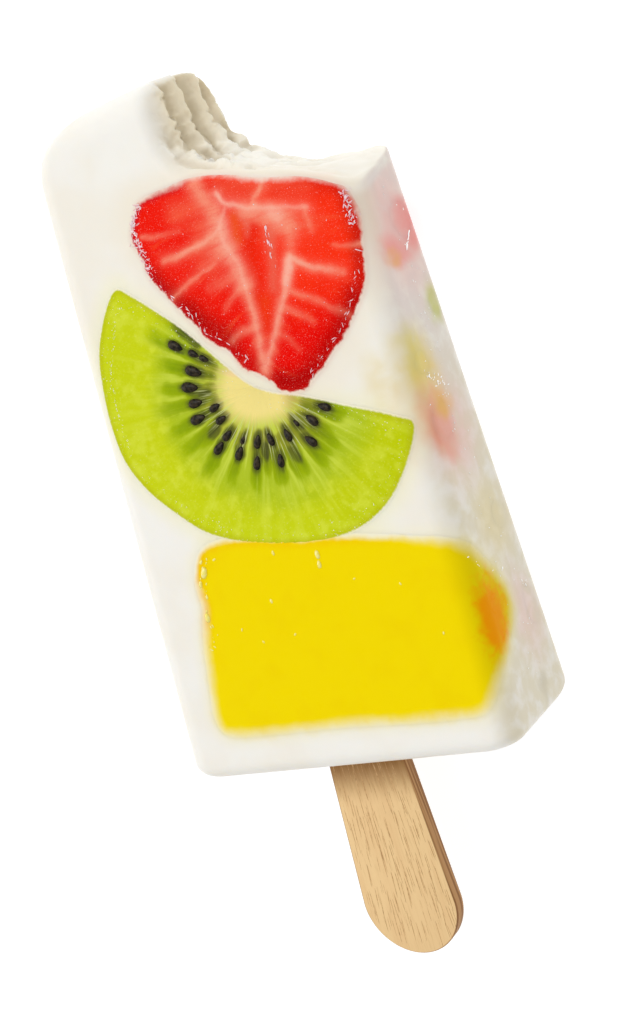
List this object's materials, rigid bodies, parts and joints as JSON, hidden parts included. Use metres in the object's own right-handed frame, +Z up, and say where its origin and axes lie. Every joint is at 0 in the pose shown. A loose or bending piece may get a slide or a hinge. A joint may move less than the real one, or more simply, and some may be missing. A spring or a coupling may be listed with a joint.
{
  "type": "ice lolly",
  "caption": "Milk ice lolly on a flat wooden stick, bitten at one corner, with strawberry, kiwi and mango slices frozen into its front.",
  "frame": {"origin": "middle of the whole lolly's length and width, on the surface that its flat back lies on", "axes": "+X across the lolly, +Y along it from the stick to the bitten tip, +Z up, out of the front that shows the fruit"},
  "size_m": [0.0478, 0.1138, 0.0186],
  "materials": {
    "milk_ice": "frozen milk and yogurt, satin with a thin wet film",
    "strawberry": "wet cut strawberry",
    "kiwi": "wet cut kiwi",
    "mango": "wet cut mango",
    "peach": "fruit under frost",
    "wood": "plain sanded beech"
  },
  "bodies": {
    "root": {"ice_block": "milk_ice", "stick": "wood", "strawberry_slice": "strawberry", "kiwi_slice": "kiwi", "mango_slab": "mango", "side_strawberry": "strawberry", "side_kiwi_low": "kiwi", "side_kiwi_high": "kiwi", "side_peach": "peach", "side_mango": "mango", "side_berry": "strawberry"}
  },
  "joints": []
}
